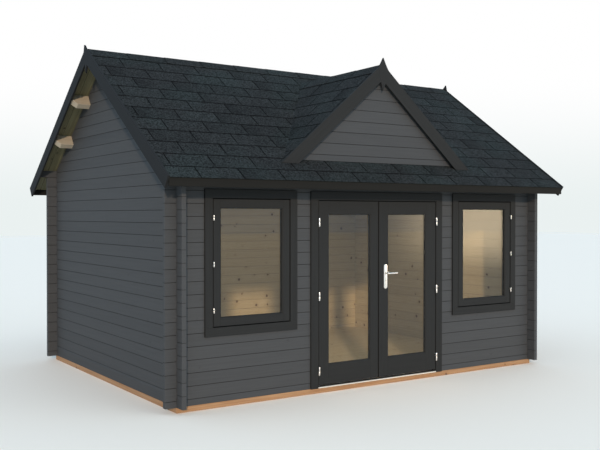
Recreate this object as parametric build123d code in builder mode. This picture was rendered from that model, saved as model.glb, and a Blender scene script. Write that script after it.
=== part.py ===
# Garden house of interlocking wall logs with a steep saddle roof, a front dormer gable,
# a glazed double door and two windows. Millimetres. The origin is on the ground at the
# middle of the house, +X runs along the front to the right and +Z is up, so the door
# faces -Y.
import os
from math import cos, radians, sin, tan

from build123d import *

os.makedirs("parts", exist_ok=True)

# Signs of the two ends and of the two slopes
sides = {"left": -1, "right": 1}
slopes = {"front": -1, "back": 1}

# Walls
house_width = 4490
house_depth = 3306
log_thick = 44
log_high = 114
log_tail = 108
joint_cut = 3
beam_high = 51
beam_wide = 70

# Floor
floor_thick = 19
floor_gap = 20
joist_wide = 44
joist_count = 8

# Main roof
ridge_height = 3392
roof_pitch = 34.9
covering_thick = 8
board_thick = 19
fascia_reach = 285
fascia_bottom = 1955
drip_reach = 8
verge_reach = 216
barge_thick = 20
barge_wide = 122
barge_stand = 8
barge_foot_reach = 301
barge_cross = 54
barge_shoulder = 86
barge_point_drop = 106
barge_point_seat = 38
spire_rise = 36
spire_lean = -36
spire_curve = 220

# Purlins, set square to the slope. Places are those of their lower corner on the ridge side
purlin_thick = 70
purlin_deep = 125
purlin_places = {"upper": 451, "lower": 1004}
purlin_end_cut = 60

# Dormer
dormer_ridge_height = 3225
dormer_pitch = 40.7
dormer_reach = 56
dormer_foot_reach = 60
dormer_barge_wide = 127
dormer_spire_rise = 59
dormer_spire_lean = 10
dormer_first_joint = 2298
dormer_back = 0

# Windows
window_centre = 1490
window_trim_wide = 972
window_trim_bottom = 640
window_trim_top = 1945
window_sash_wide = 805
window_sash_bottom = 725
window_sash_top = 1860
window_sash_thick = 56
window_sash_gap = 3
window_glass_wide = 645
window_glass_bottom = 806
window_glass_top = 1774
window_hinge_heights = (870, 1280, 1692)
window_hinge_high = 46

# Double door
door_trim_half = 845
door_trim_top = 1942
door_opening_half = 760
door_opening_top = 1860
door_edge_gap = 6
door_meeting = -19
door_meeting_gap = 10
leaf_bottom = 80
leaf_top = 1854
leaf_thick = 44
leaf_setback = 5
leaf_glass = {"left": (-630, -128), "right": (113, 613)}
leaf_top_rail = 136
leaf_bottom_rail = 197
door_hinge_heights = (217, 935, 1647)
door_hinge_high = 82
threshold_top = 74

# Joinery shared by the door and the windows
trim_proud = 20
inner_trim_proud = 15
frame_lining = 38
frame_stop = 15
stop_gap = 5
glass_thick = 14
glass_bite = 10
bead_slope = 9

# Ironmongery
hinge_pin_stand = 9
door_barrel_radius = 8
window_barrel_radius = 6
barrel_sides = 16
barrel_gap = 2
hinge_arm = 20
plate_wide = 43
plate_high = 249
plate_bottom = 971
plate_thick = 8
plate_corner = 12
plate_offset = 82
lever_height = 1128
lever_reach = 122
lever_radius = 9
lever_stand = 48
lever_neck_radius = 10
spindle_radius = 4
spindle_clearance = 0.5

# Places worked out from the dimensions above
half_width = house_width / 2
half_depth = house_depth / 2
inner_half_width = half_width - log_thick
inner_half_depth = half_depth - log_thick
tail_half_width = half_width + log_tail
tail_half_depth = half_depth + log_tail
front_middle = -half_depth + log_thick / 2
side_middle = half_width - log_thick / 2
front_face = -half_depth
inner_face = front_face + log_thick
plate_log_bottom = beam_high + log_high * 18.5
notch_high = log_high / 2
roof_depth = covering_thick + board_thick
verge_inner = half_width + verge_reach - barge_thick
fascia_outer = half_depth + fascia_reach
fascia_inner = fascia_outer - barge_thick
trim_face = front_face - trim_proud
leaf_outer = trim_face + leaf_setback
leaf_inner = leaf_outer + leaf_thick
pin_y = trim_face - hinge_pin_stand
door_hole_half = door_opening_half + frame_lining
door_hole_top = door_opening_top + frame_lining
leaf_hinge_edge = door_opening_half - door_edge_gap
pin_x = (door_opening_half + leaf_hinge_edge) / 2
sky = 5000


def slope_height(y, depth, pitch=roof_pitch, ridge=ridge_height):
    """Height of a plane parallel to a roof slope and depth mm below its surface."""
    return ridge - abs(y) * tan(radians(pitch)) - depth / cos(radians(pitch))


def joint_heights(first, bottom, top):
    """Heights of the log joints between bottom and top."""
    heights = []
    height = first
    while height < top - joint_cut:
        if height > bottom + joint_cut:
            heights.append(height)
        height += log_high
    return heights


def log_outline(middle, bottom, top, first_joint):
    """Cross-section of a stack of logs, with a V at each joint on both faces."""
    outer = []
    for height in joint_heights(first_joint, bottom, top):
        outer.append((middle - log_thick / 2, height - joint_cut))
        outer.append((middle - log_thick / 2 + joint_cut, height))
        outer.append((middle - log_thick / 2, height + joint_cut))
    inner = [(2 * middle - y, height) for y, height in reversed(outer)]
    low = [(middle + log_thick / 2, bottom), (middle - log_thick / 2, bottom)]
    high = [(middle - log_thick / 2, top), (middle + log_thick / 2, top)]
    return low + outer + high + inner


def roof_prism(depth):
    """Outline, seen from the right, of everything under a plane of the main roof."""
    low = slope_height(tail_half_depth * 2, depth)
    return [
        (0, slope_height(0, depth)),
        (tail_half_depth * 2, low),
        (tail_half_depth * 2, -sky),
        (-tail_half_depth * 2, -sky),
        (-tail_half_depth * 2, low),
    ]


# Where logs cross at a corner each keeps the middle half of its height. The front and
# back walls start with a half log, so the two stacks fill the crossing turn by turn.
side_keeps = [beam_high + notch_high / 2 + log_high * n for n in range(19)]
front_keeps = [height + notch_high for height in side_keeps[:-1]]
crossings = [(x, y) for x in (-side_middle, side_middle) for y in (front_middle, -front_middle)]


def crossing_places(heights):
    """Centres of the notches, notch_high tall, that start at the given heights."""
    return [(x, y, height + notch_high / 2) for x, y in crossings for height in heights]


def front_log_notches():
    """Notches of the front and back logs, taken where the side logs cross them."""
    with Locations(*crossing_places(side_keeps)):
        Box(log_thick, log_thick, notch_high, mode=Mode.SUBTRACT)


# Base frame of four beams on the ground, with joists between them
for name, place in slopes.items():
    with BuildPart() as base_beam:
        with Locations((0, place * (half_depth - beam_wide / 2), beam_high / 2)):
            Box(house_width, beam_wide, beam_high)
    base_beam.part.label = f"base_beam_{name}"
    export_step(base_beam.part, f"parts/base_beam_{name}.step")

for name, place in sides.items():
    with BuildPart() as base_beam:
        with Locations((place * (half_width - beam_wide / 2), 0, beam_high / 2)):
            Box(beam_wide, house_depth - 2 * beam_wide, beam_high)
    base_beam.part.label = f"base_beam_{name}"
    export_step(base_beam.part, f"parts/base_beam_{name}.step")

joist_span = house_width - 2 * beam_wide - joist_wide
joist_spacing = joist_span / (joist_count + 1)
with BuildPart() as floor_joists:
    with Locations((0, 0, beam_high / 2)):
        with GridLocations(joist_spacing, 1, joist_count, 1):
            Box(joist_wide, house_depth - 2 * beam_wide, beam_high)
floor_joists.part.label = "floor_joists"
export_step(floor_joists.part, "parts/floor_joists.step")

with BuildPart() as floor_boards:
    with Locations((0, 0, beam_high + floor_thick / 2)):
        Box(2 * (inner_half_width - floor_gap), 2 * (inner_half_depth - floor_gap), floor_thick)
floor_boards.part.label = "floor_boards"
export_step(floor_boards.part, "parts/floor_boards.step")


# Front wall, split beside and over the doorway
front_joint = beam_high + notch_high
window_hole_wide = window_sash_wide + 2 * frame_lining
window_hole_high = window_sash_top - window_sash_bottom + 2 * frame_lining
window_middle = (window_sash_top + window_sash_bottom) / 2
for name, place in sides.items():
    near = tail_half_width if place > 0 else -door_hole_half
    with BuildPart() as front_wall:
        with BuildSketch(Plane.YZ.offset(near)):
            with BuildLine():
                Polyline(
                    *log_outline(front_middle, beam_high, plate_log_bottom, front_joint), close=True
                )
            make_face()
        extrude(amount=-(tail_half_width - door_hole_half))
        front_log_notches()
        with Locations((place * window_centre, front_middle, window_middle)):
            Box(window_hole_wide, 2 * log_thick, window_hole_high, mode=Mode.SUBTRACT)
    front_wall.part.label = f"front_wall_{name}"
    export_step(front_wall.part, f"parts/front_wall_{name}.step")

with BuildPart() as front_wall_over_door:
    with BuildSketch(Plane.YZ):
        with BuildLine():
            Polyline(
                *log_outline(front_middle, door_hole_top, plate_log_bottom, front_joint), close=True
            )
        make_face()
    extrude(amount=door_hole_half, both=True)
front_wall_over_door.part.label = "front_wall_over_door"
export_step(front_wall_over_door.part, "parts/front_wall_over_door.step")

with BuildPart() as back_wall:
    with BuildSketch(Plane.YZ):
        with BuildLine():
            Polyline(*log_outline(-front_middle, beam_high, plate_log_bottom, front_joint), close=True)
        make_face()
    extrude(amount=tail_half_width, both=True)
    front_log_notches()
back_wall.part.label = "back_wall"
export_step(back_wall.part, "parts/back_wall.step")

# Top logs of the front and back walls, planed to the slope and run out to the barges
plate_logs = {}
for name, place in slopes.items():
    with BuildPart() as plate_log:
        with BuildSketch(Plane.YZ):
            with Locations((place * -front_middle, (plate_log_bottom + sky) / 2)):
                Rectangle(log_thick, sky - plate_log_bottom)
        extrude(amount=verge_inner, both=True)
        with BuildSketch(Plane.YZ):
            with BuildLine():
                Polyline(*roof_prism(roof_depth), close=True)
            make_face()
        extrude(amount=verge_inner, both=True, mode=Mode.INTERSECT)
        front_log_notches()
    plate_log.part.label = f"plate_log_{name}"
    export_step(plate_log.part, f"parts/plate_log_{name}.step")
    plate_logs[name] = plate_log.part

# Purlins under the roof boards, from barge to barge, with the lower end edges cut back
purlins = {}
for slope, side in slopes.items():
    for name, corner_y in purlin_places.items():
        with BuildPart() as purlin:
            top = Plane(
                origin=(0, side * corner_y, slope_height(corner_y, roof_depth + purlin_deep)),
                x_dir=(1, 0, 0),
                z_dir=(0, side * sin(radians(roof_pitch)), cos(radians(roof_pitch))),
            )
            with BuildSketch(top):
                with Locations((0, side * purlin_thick / 2)):
                    Rectangle(2 * verge_inner, purlin_thick)
            extrude(amount=purlin_deep)
            lower_ends = purlin.faces().sort_by(Axis((0, 0, 0), top.z_dir))[0].edges()
            chamfer(lower_ends.filter_by(Axis.X, reverse=True), length=purlin_end_cut)
        purlin.part.label = f"purlin_{slope}_{name}"
        export_step(purlin.part, f"parts/purlin_{slope}_{name}.step")
        purlins[f"{slope}_{name}"] = purlin.part

with BuildPart() as ridge_purlin:
    with BuildSketch(Plane.YZ):
        with Locations((0, slope_height(0, roof_depth) - purlin_deep / 2)):
            Rectangle(purlin_thick, purlin_deep)
    extrude(amount=verge_inner, both=True)
    with BuildSketch(Plane.YZ):
        with BuildLine():
            Polyline(*roof_prism(roof_depth), close=True)
        make_face()
    extrude(amount=verge_inner, both=True, mode=Mode.INTERSECT)
    ridge_ends = ridge_purlin.faces().sort_by(Axis.Z)[0].edges().filter_by(Axis.Y)
    chamfer(ridge_ends, length=purlin_end_cut)
ridge_purlin.part.label = "ridge_purlin"
export_step(ridge_purlin.part, "parts/ridge_purlin.step")

# Side walls with their gables, notched for the purlins and the crossing logs
for name, place in sides.items():
    with BuildPart() as side_wall:
        with BuildSketch(Plane.XZ):
            with BuildLine():
                Polyline(
                    *log_outline(place * side_middle, beam_high, ridge_height, beam_high + log_high),
                    close=True,
                )
            make_face()
        extrude(amount=tail_half_depth, both=True)
        with BuildSketch(Plane.YZ):
            with BuildLine():
                Polyline(*roof_prism(roof_depth), close=True)
            make_face()
        extrude(amount=tail_half_width, both=True, mode=Mode.INTERSECT)
        with Locations(*crossing_places(front_keeps)):
            Box(log_thick, log_thick, notch_high, mode=Mode.SUBTRACT)
        with Locations(*[(x, y, beam_high + notch_high / 4) for x, y in crossings]):
            Box(log_thick, log_thick, notch_high / 2, mode=Mode.SUBTRACT)
        for crossing_log in plate_logs.values():
            add(crossing_log, mode=Mode.SUBTRACT)
        for crossing_purlin in purlins.values():
            add(crossing_purlin, mode=Mode.SUBTRACT)
        add(ridge_purlin.part, mode=Mode.SUBTRACT)
    side_wall.part.label = f"{name}_wall"
    export_step(side_wall.part, f"parts/{name}_wall.step")

# Main roof: boards and covering on each slope, and a fascia board along each eave
for name, side in slopes.items():
    with BuildPart() as roof_boards:
        with BuildSketch(Plane.YZ):
            with BuildLine():
                Polyline(
                    (0, slope_height(0, covering_thick)),
                    (side * fascia_inner, slope_height(fascia_inner, covering_thick)),
                    (side * fascia_inner, slope_height(fascia_inner, roof_depth)),
                    (0, slope_height(0, roof_depth)),
                    close=True,
                )
            make_face()
        extrude(amount=verge_inner, both=True)
    roof_boards.part.label = f"roof_boards_{name}"
    export_step(roof_boards.part, f"parts/roof_boards_{name}.step")

    drip_edge = fascia_outer + drip_reach
    with BuildPart() as roof_covering:
        with BuildSketch(Plane.YZ):
            with BuildLine():
                Polyline(
                    (0, slope_height(0, 0)),
                    (side * drip_edge, slope_height(drip_edge, 0)),
                    (side * drip_edge, slope_height(drip_edge, covering_thick)),
                    (0, slope_height(0, covering_thick)),
                    close=True,
                )
            make_face()
        extrude(amount=verge_inner, both=True)
    roof_covering.part.label = f"roof_covering_{name}"
    export_step(roof_covering.part, f"parts/roof_covering_{name}.step")

    with BuildPart() as fascia:
        with BuildSketch(Plane.YZ):
            with BuildLine():
                Polyline(
                    (side * fascia_outer, fascia_bottom),
                    (side * fascia_outer, slope_height(fascia_outer, covering_thick)),
                    (side * fascia_inner, slope_height(fascia_inner, covering_thick)),
                    (side * fascia_inner, fascia_bottom),
                    close=True,
                )
            make_face()
        extrude(amount=verge_inner, both=True)
    fascia.part.label = f"fascia_{name}"
    export_step(fascia.part, f"parts/fascia_{name}.step")


def barge_outline(board, ridge, pitch, wide, rise, lean, foot):
    """Outline of one of a crossed pair of barges, with the gable's middle at 0."""
    slope = tan(radians(pitch))
    outer_apex = ridge + barge_stand / cos(radians(pitch))
    inner_apex = outer_apex - wide / cos(radians(pitch))
    outer_foot = outer_apex - foot * slope
    inner_reach = foot - wide * sin(radians(pitch))
    inner_foot = inner_apex - inner_reach * slope
    crossing = (-barge_cross, outer_apex - barge_cross * slope)
    point = inner_apex - barge_point_drop
    if board == "spire":
        shoulder = (barge_shoulder, outer_apex - barge_shoulder * slope)
        tip = (lean, outer_apex + rise)
        RadiusArc(shoulder, tip, -spire_curve)
        RadiusArc(tip, crossing, -spire_curve)
        Polyline(
            crossing,
            (0, point),
            (barge_point_seat, inner_apex - barge_point_seat * slope),
            (inner_reach, inner_foot),
            (foot, outer_foot),
            shoulder,
        )
    else:
        butt_share = (outer_apex - inner_apex) / (outer_apex - point)
        seat = barge_cross * (1 - butt_share)
        Polyline(
            crossing,
            (-seat, inner_apex - seat * slope),
            (-inner_reach, inner_foot),
            (-foot, outer_foot),
            close=True,
        )


# Barges of the two gables. Seen from outside each gable, the spire leans to the left.
main_barge = (
    ridge_height, roof_pitch, barge_wide, spire_rise, spire_lean, half_depth + barge_foot_reach
)
gable_planes = {
    "left": Plane(origin=(-verge_inner, 0, 0), x_dir=(0, -1, 0), z_dir=(-1, 0, 0)),
    "right": Plane(origin=(verge_inner, 0, 0), x_dir=(0, 1, 0), z_dir=(1, 0, 0)),
}
gable_boards = {
    "left": {"front": "spire", "back": "plain"},
    "right": {"front": "plain", "back": "spire"},
}
for gable, boards in gable_boards.items():
    for slope_name, board in boards.items():
        with BuildPart() as barge:
            with BuildSketch(gable_planes[gable]):
                with BuildLine():
                    barge_outline(board, *main_barge)
                make_face()
            extrude(amount=barge_thick)
        barge.part.label = f"barge_{gable}_{slope_name}"
        export_step(barge.part, f"parts/barge_{gable}_{slope_name}.step")

# Dormer over the door: a log gable flush with the wall, and its own small saddle roof.
# Everything in it is scribed to the main roof's surface.
dormer_front = front_face - dormer_reach
dormer_board_front = dormer_front + barge_thick
dormer_eave = (dormer_ridge_height - slope_height(dormer_front, 0)) / tan(radians(dormer_pitch))
dormer_half = dormer_eave + dormer_foot_reach


def dormer_height(x, depth):
    """Height of a plane parallel to a dormer slope and depth mm below its surface."""
    return slope_height(x, depth, dormer_pitch, dormer_ridge_height)


with BuildPart() as under_roof:
    with BuildSketch(Plane.YZ):
        with BuildLine():
            Polyline(*roof_prism(0), close=True)
        make_face()
    extrude(amount=half_width, both=True)


with BuildPart() as dormer_gable:
    with BuildSketch(Plane.YZ):
        with BuildLine():
            Polyline(
                *log_outline(
                    front_middle, plate_log_bottom, dormer_ridge_height, dormer_first_joint
                ),
                close=True,
            )
        make_face()
    extrude(amount=dormer_half, both=True)
    with BuildSketch(Plane.XZ.offset(-inner_face)):
        with BuildLine():
            Polyline(
                (0, dormer_height(0, roof_depth)),
                (dormer_half, dormer_height(dormer_half, roof_depth)),
                (-dormer_half, dormer_height(dormer_half, roof_depth)),
                close=True,
            )
        make_face()
    extrude(amount=log_thick, mode=Mode.INTERSECT)
    add(under_roof.part, mode=Mode.SUBTRACT)
dormer_gable.part.label = "dormer_gable"
export_step(dormer_gable.part, "parts/dormer_gable.step")

for name, side in sides.items():
    for layer, high, low in (
        ("boards", covering_thick, roof_depth),
        ("covering", 0, covering_thick),
    ):
        with BuildPart() as dormer_slab:
            with BuildSketch(Plane.XZ.offset(-dormer_back)):
                with BuildLine():
                    Polyline(
                        (0, dormer_height(0, high)),
                        (side * dormer_half, dormer_height(dormer_half, high)),
                        (side * dormer_half, dormer_height(dormer_half, low)),
                        (0, dormer_height(0, low)),
                        close=True,
                    )
                make_face()
            extrude(amount=dormer_back - dormer_board_front)
            add(under_roof.part, mode=Mode.SUBTRACT)
        dormer_slab.part.label = f"dormer_{layer}_{name}"
        export_step(dormer_slab.part, f"parts/dormer_{layer}_{name}.step")

dormer_barge_size = (
    dormer_ridge_height,
    dormer_pitch,
    dormer_barge_wide,
    dormer_spire_rise,
    dormer_spire_lean,
    dormer_half + dormer_foot_reach,
)
for name, board in {"left": "plain", "right": "spire"}.items():
    with BuildPart() as dormer_barge:
        with BuildSketch(Plane.XZ.offset(-dormer_board_front)):
            with BuildLine():
                barge_outline(board, *dormer_barge_size)
            make_face()
        extrude(amount=barge_thick)
        add(under_roof.part, mode=Mode.SUBTRACT)
    dormer_barge.part.label = f"dormer_barge_{name}"
    export_step(dormer_barge.part, f"parts/dormer_barge_{name}.step")


def upright(y):
    """A plane facing the front at depth y, so a sketch on it is seen from outside."""
    return Plane.XZ.offset(-y)


def ring(centre, wide, bottom, top, hole_wide, hole_bottom, hole_top):
    """Sketch of a rectangular ring standing upright."""
    with Locations((centre, (bottom + top) / 2)):
        Rectangle(wide, top - bottom)
    with Locations((centre, (hole_bottom + hole_top) / 2)):
        Rectangle(hole_wide, hole_top - hole_bottom, mode=Mode.SUBTRACT)


def glazing_rebate(centre, wide, bottom, top, outer, inner):
    """What a pane takes out: its groove, and beads that slope to the glass on both faces."""
    with BuildPart() as rebate:
        with Locations((centre, (outer + inner) / 2, (bottom + top) / 2)):
            Box(wide + 2 * glass_bite, glass_thick, top - bottom + 2 * glass_bite)
        for face, depth in ((outer, 1), (inner, -1)):
            with BuildSketch(upright(face)):
                with Locations((centre, (bottom + top) / 2)):
                    Rectangle(wide + 2 * bead_slope, top - bottom + 2 * bead_slope)
            with BuildSketch(upright(face + depth * bead_slope)):
                with Locations((centre, (bottom + top) / 2)):
                    Rectangle(wide, top - bottom)
            loft()
    return rebate.part


def pane(centre, wide, bottom, top, outer, inner):
    """Sheet of glass held in its groove."""
    with Locations((centre, (outer + inner) / 2, (bottom + top) / 2)):
        Box(wide + 2 * glass_bite, glass_thick, top - bottom + 2 * glass_bite)


# Windows: a lined frame with trims on both faces, and a sash that seats on its stop
sash_seat = leaf_outer + window_sash_thick
for name, place in sides.items():
    centre = place * window_centre
    opening = (
        window_sash_wide + 2 * window_sash_gap,
        window_sash_bottom - window_sash_gap,
        window_sash_top + window_sash_gap,
    )
    stop = (
        window_sash_wide - 2 * frame_stop,
        window_sash_bottom + frame_stop,
        window_sash_top - frame_stop,
    )
    with BuildPart() as window_frame:
        with BuildSketch(upright(front_face)):
            ring(centre, window_trim_wide, window_trim_bottom, window_trim_top, *opening)
        extrude(amount=trim_proud)
        with BuildSketch(upright(sash_seat)):
            ring(
                centre,
                window_hole_wide,
                window_middle - window_hole_high / 2,
                window_middle + window_hole_high / 2,
                *opening,
            )
        extrude(amount=sash_seat - front_face)
        with BuildSketch(upright(inner_face)):
            ring(
                centre,
                window_hole_wide,
                window_middle - window_hole_high / 2,
                window_middle + window_hole_high / 2,
                *stop,
            )
        extrude(amount=inner_face - sash_seat)
        with BuildSketch(upright(inner_face + inner_trim_proud)):
            ring(centre, window_trim_wide, window_trim_bottom, window_trim_top, *stop)
        extrude(amount=inner_trim_proud)
    window_frame.part.label = f"window_frame_{name}"
    export_step(window_frame.part, f"parts/window_frame_{name}.step")

    glass = (centre, window_glass_wide, window_glass_bottom, window_glass_top)
    rebate = glazing_rebate(*glass, leaf_outer, sash_seat)
    with BuildPart() as window_sash:
        with BuildSketch(upright(sash_seat)):
            ring(
                centre,
                window_sash_wide,
                window_sash_bottom,
                window_sash_top,
                window_glass_wide,
                window_glass_bottom,
                window_glass_top,
            )
        extrude(amount=sash_seat - leaf_outer)
        add(rebate, mode=Mode.SUBTRACT)
    window_sash.part.label = f"window_sash_{name}"
    export_step(window_sash.part, f"parts/window_sash_{name}.step")

    with BuildPart() as window_glass:
        pane(*glass, leaf_outer, sash_seat)
    window_glass.part.label = f"window_glass_{name}"
    export_step(window_glass.part, f"parts/window_glass_{name}.step")

    hinge_x = centre + place * (window_sash_wide + window_sash_gap) / 2
    with BuildPart() as window_hinges:
        with BuildSketch(*[Plane.XY.offset(height) for height in window_hinge_heights]):
            with Locations((hinge_x, pin_y)):
                RegularPolygon(window_barrel_radius, barrel_sides)
        extrude(amount=window_hinge_high / 2, both=True)
        arm_y = trim_face - hinge_pin_stand / 2
        with Locations(*[(hinge_x, arm_y, height) for height in window_hinge_heights]):
            Box(2 * window_barrel_radius, hinge_pin_stand, window_hinge_high / 3)
    window_hinges.part.label = f"window_hinges_{name}"
    export_step(window_hinges.part, f"parts/window_hinges_{name}.step")

# Door frame: a lined head and two jambs, trims on both faces, and a threshold
with BuildPart() as door_frame:
    for plane_y, half, top, hole_half, hole_top, thick in (
        (front_face, door_trim_half, door_trim_top, door_opening_half, door_opening_top, trim_proud),
        (inner_face, door_hole_half, door_hole_top, door_opening_half, door_opening_top, log_thick),
        (
            inner_face + inner_trim_proud,
            door_trim_half,
            door_trim_top,
            door_opening_half - frame_stop,
            door_opening_top - frame_stop,
            inner_trim_proud,
        ),
        (
            inner_face,
            door_hole_half,
            door_hole_top,
            door_opening_half - frame_stop,
            door_opening_top - frame_stop,
            inner_face - leaf_inner - stop_gap,
        ),
    ):
        with BuildSketch(upright(plane_y)):
            ring(0, 2 * half, beam_high, top, 2 * hole_half, beam_high, hole_top)
        extrude(amount=thick)
door_frame.part.label = "door_frame"
export_step(door_frame.part, "parts/door_frame.step")

with BuildPart() as threshold:
    with BuildSketch(Plane.XY.offset(beam_high)):
        with Locations((0, (trim_face + inner_face) / 2)):
            Rectangle(2 * door_opening_half, inner_face - trim_face)
        with Locations((0, inner_face + inner_trim_proud / 2)):
            Rectangle(2 * (door_opening_half - frame_stop), inner_trim_proud)
    extrude(amount=threshold_top - beam_high)
    add(door_frame.part, mode=Mode.SUBTRACT)
threshold.part.label = "threshold"
export_step(threshold.part, "parts/threshold.step")

# Door leaves, glazed nearly to the floor, each on three lift-off hinges
leaf_edges = {
    "left": (-leaf_hinge_edge, door_meeting - door_meeting_gap / 2),
    "right": (door_meeting + door_meeting_gap / 2, leaf_hinge_edge),
}
handle_x = leaf_edges["right"][0] + plate_offset
barrel_half = (door_hinge_high - barrel_gap) / 2
barrel_middle = (door_hinge_high + barrel_gap) / 4
for name, place in sides.items():
    low_x, high_x = leaf_edges[name]
    centre = (low_x + high_x) / 2
    glass_low_x, glass_high_x = leaf_glass[name]
    glass_centre = (glass_low_x + glass_high_x) / 2
    glass_wide = glass_high_x - glass_low_x
    glass = (glass_centre, glass_wide, leaf_bottom + leaf_bottom_rail, leaf_top - leaf_top_rail)
    rebate = glazing_rebate(*glass, leaf_outer, leaf_inner)
    with BuildPart() as door_leaf:
        with BuildSketch(upright(leaf_inner)):
            with Locations((centre, (leaf_bottom + leaf_top) / 2)):
                Rectangle(high_x - low_x, leaf_top - leaf_bottom)
        extrude(amount=leaf_thick)
        with Locations((glass_centre, (leaf_outer + leaf_inner) / 2, (glass[2] + glass[3]) / 2)):
            Box(glass_wide, leaf_thick, glass[3] - glass[2], mode=Mode.SUBTRACT)
        add(rebate, mode=Mode.SUBTRACT)
        if name == "right":
            with Locations(Plane(origin=(handle_x, leaf_outer, lever_height), z_dir=(0, -1, 0))):
                Hole(spindle_radius + spindle_clearance, depth=leaf_thick)
    door_leaf.part.label = f"door_leaf_{name}"
    export_step(door_leaf.part, f"parts/door_leaf_{name}.step")

    with BuildPart() as door_glass:
        pane(*glass, leaf_outer, leaf_inner)
    door_glass.part.label = f"door_glass_{name}"
    export_step(door_glass.part, f"parts/door_glass_{name}.step")

    with BuildPart() as leaf_hinges:
        with BuildSketch(*[Plane.XY.offset(height + barrel_gap / 2) for height in door_hinge_heights]):
            with Locations((place * pin_x, pin_y)):
                RegularPolygon(door_barrel_radius, barrel_sides)
        extrude(amount=barrel_half)
        arm_x = place * (leaf_hinge_edge - hinge_arm / 2)
        arm_y = (pin_y + leaf_outer) / 2
        with Locations(*[(arm_x, arm_y, height + barrel_middle) for height in door_hinge_heights]):
            Box(hinge_arm, leaf_outer - pin_y, barrel_half / 2)
    leaf_hinges.part.label = f"door_hinges_{name}"
    export_step(leaf_hinges.part, f"parts/door_hinges_{name}.step")

with BuildPart() as frame_hinges:
    for place in sides.values():
        with BuildSketch(*[Plane.XY.offset(height - barrel_gap / 2) for height in door_hinge_heights]):
            with Locations((place * pin_x, pin_y)):
                RegularPolygon(door_barrel_radius, barrel_sides)
        extrude(amount=-barrel_half)
        arm_x = place * (door_opening_half + hinge_arm / 2)
        arm_y = (pin_y + trim_face) / 2
        with Locations(*[(arm_x, arm_y, height - barrel_middle) for height in door_hinge_heights]):
            Box(hinge_arm, trim_face - pin_y, barrel_half / 2)
frame_hinges.part.label = "frame_hinges"
export_step(frame_hinges.part, "parts/frame_hinges.step")

# Lever handle on the right leaf: a plate on each face and one lever through both
handle_sides = {"outside": (leaf_outer, -1), "inside": (leaf_inner, 1)}
plate_middle = plate_bottom + plate_high / 2
with BuildPart() as handle_plates:
    for face, outward in handle_sides.values():
        with BuildSketch(Plane(origin=(handle_x, face, 0), x_dir=(-outward, 0, 0), z_dir=(0, outward, 0))):
            with Locations((0, plate_middle)):
                plate = Rectangle(plate_wide, plate_high)
            chamfer(plate.vertices(), length=plate_corner)
            with Locations((0, lever_height)):
                Circle(spindle_radius + spindle_clearance, mode=Mode.SUBTRACT)
        extrude(amount=plate_thick)
handle_plates.part.label = "handle_plates"
export_step(handle_plates.part, "parts/handle_plates.step")

with BuildPart() as door_lever:
    with BuildSketch(Plane(origin=(handle_x, leaf_outer - lever_stand, lever_height), z_dir=(0, 1, 0))):
        Circle(spindle_radius)
    extrude(amount=leaf_thick + 2 * lever_stand)
    for face, outward in handle_sides.values():
        neck_start = face + outward * (plate_thick + spindle_clearance)
        neck_end = face + outward * (lever_stand + lever_radius)
        with BuildSketch(Plane(origin=(handle_x, neck_start, lever_height), z_dir=(0, outward, 0))):
            RegularPolygon(lever_neck_radius, barrel_sides)
        extrude(amount=abs(neck_end - neck_start))
        bar_start = (handle_x - lever_neck_radius, face + outward * lever_stand, lever_height)
        with BuildSketch(Plane(origin=bar_start, z_dir=(1, 0, 0))):
            RegularPolygon(lever_radius, barrel_sides)
        extrude(amount=lever_neck_radius + lever_reach)
door_lever.part.label = "door_lever"
export_step(door_lever.part, "parts/door_lever.step")
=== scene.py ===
# Looks of the garden house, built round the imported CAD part. Metres, the front faces -Y.
import math
import random

import bmesh
import bpy
from mathutils import Matrix, Vector


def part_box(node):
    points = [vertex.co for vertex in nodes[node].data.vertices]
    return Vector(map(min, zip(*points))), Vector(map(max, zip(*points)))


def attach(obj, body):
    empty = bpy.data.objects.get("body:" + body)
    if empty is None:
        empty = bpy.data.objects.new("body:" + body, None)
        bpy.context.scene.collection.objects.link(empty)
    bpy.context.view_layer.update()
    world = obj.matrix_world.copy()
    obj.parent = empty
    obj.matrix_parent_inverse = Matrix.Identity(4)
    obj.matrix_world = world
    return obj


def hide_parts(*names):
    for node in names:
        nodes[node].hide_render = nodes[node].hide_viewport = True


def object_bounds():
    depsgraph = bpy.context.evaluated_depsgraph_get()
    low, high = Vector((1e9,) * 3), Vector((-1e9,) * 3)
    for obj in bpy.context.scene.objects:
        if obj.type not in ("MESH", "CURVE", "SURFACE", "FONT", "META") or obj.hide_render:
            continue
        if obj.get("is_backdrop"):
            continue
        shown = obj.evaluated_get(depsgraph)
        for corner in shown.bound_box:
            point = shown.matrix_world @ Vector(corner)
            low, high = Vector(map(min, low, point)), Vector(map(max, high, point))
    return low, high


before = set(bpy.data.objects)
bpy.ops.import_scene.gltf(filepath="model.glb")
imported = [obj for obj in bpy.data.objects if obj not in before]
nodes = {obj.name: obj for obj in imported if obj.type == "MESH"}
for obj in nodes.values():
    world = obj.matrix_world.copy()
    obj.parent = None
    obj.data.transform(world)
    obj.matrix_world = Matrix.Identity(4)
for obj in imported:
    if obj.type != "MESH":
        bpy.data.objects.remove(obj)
cadLow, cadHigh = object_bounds()
random.seed(11)
print("frame loaded with", len(nodes), "nodes")

# Planes that several pieces share, read from the CAD pieces
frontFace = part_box("front_wall_left")[0].y
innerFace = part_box("front_wall_left")[1].y
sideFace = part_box("right_wall")[1].x
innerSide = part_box("right_wall")[0].x
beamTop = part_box("base_beam_front")[1].z
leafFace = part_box("door_leaf_left")[0].y
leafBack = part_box("door_leaf_left")[1].y
logHigh = 0.114
frontJoint = beamTop + logHigh / 2  # the front and back walls start with half a log
sideJoint = beamTop + logHigh
dormerJoint = 2.298

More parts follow.
